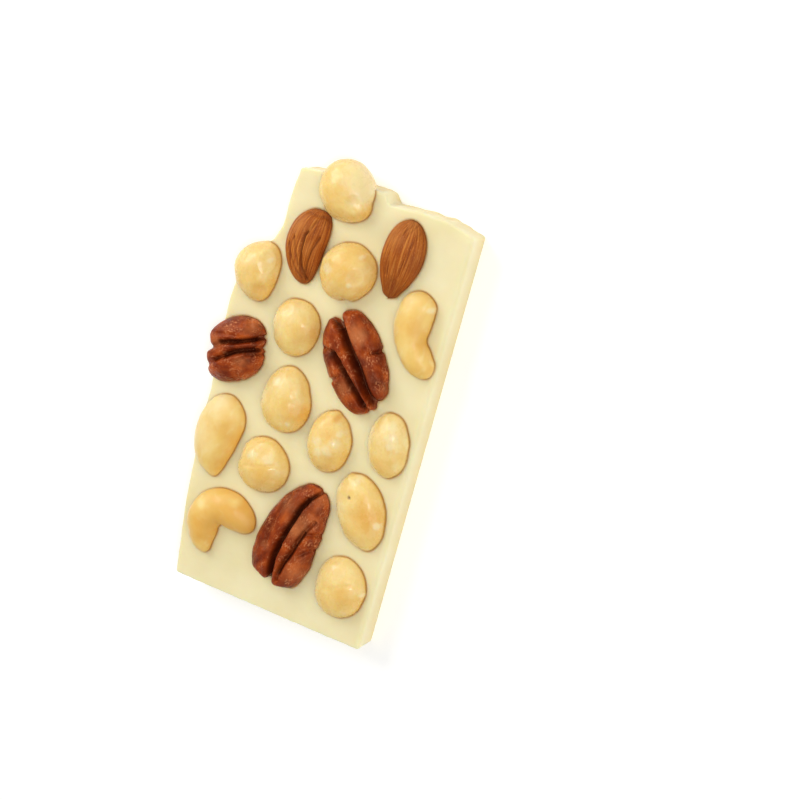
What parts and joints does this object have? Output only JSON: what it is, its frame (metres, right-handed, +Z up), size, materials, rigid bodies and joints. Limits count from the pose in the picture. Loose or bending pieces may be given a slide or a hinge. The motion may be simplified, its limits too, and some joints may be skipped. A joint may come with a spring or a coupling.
{
  "type": "white chocolate bark",
  "caption": "Broken piece of white chocolate bark lying flat, with whole macadamias, almonds and cashews and pecan halves set into its upper face.",
  "frame": {"origin": "middle of the whole piece's box, on the surface that it lies on", "axes": "+Y along the straight long edge towards the narrow broken end, +X across the slab towards the straight long edge, +Z up out of the face that holds the nuts"},
  "size_m": [0.0682, 0.134, 0.0167],
  "materials": {
    "white_chocolate": "satin, slightly waxy",
    "macadamia": "smooth, oily sheen, with a thin chocolate film in places",
    "almond_skin": "matte, finely ridged lengthwise",
    "cashew": "smooth, oily sheen",
    "pecan_skin": "satin, wrinkled lengthwise"
  },
  "bodies": {
    "root": {"chocolate_slab": "white_chocolate", "macadamia_01": "macadamia", "macadamia_02": "macadamia", "macadamia_03": "macadamia", "macadamia_04": "macadamia", "macadamia_05": "macadamia", "macadamia_06": "macadamia", "macadamia_07": "macadamia", "macadamia_08": "macadamia", "macadamia_09": "macadamia", "macadamia_10": "macadamia", "almond_01": "almond_skin", "almond_02": "almond_skin", "cashew_01": "cashew", "cashew_02": "cashew", "cashew_03": "cashew", "pecan_01": "pecan_skin", "pecan_02": "pecan_skin", "pecan_03": "pecan_skin"}
  },
  "joints": []
}
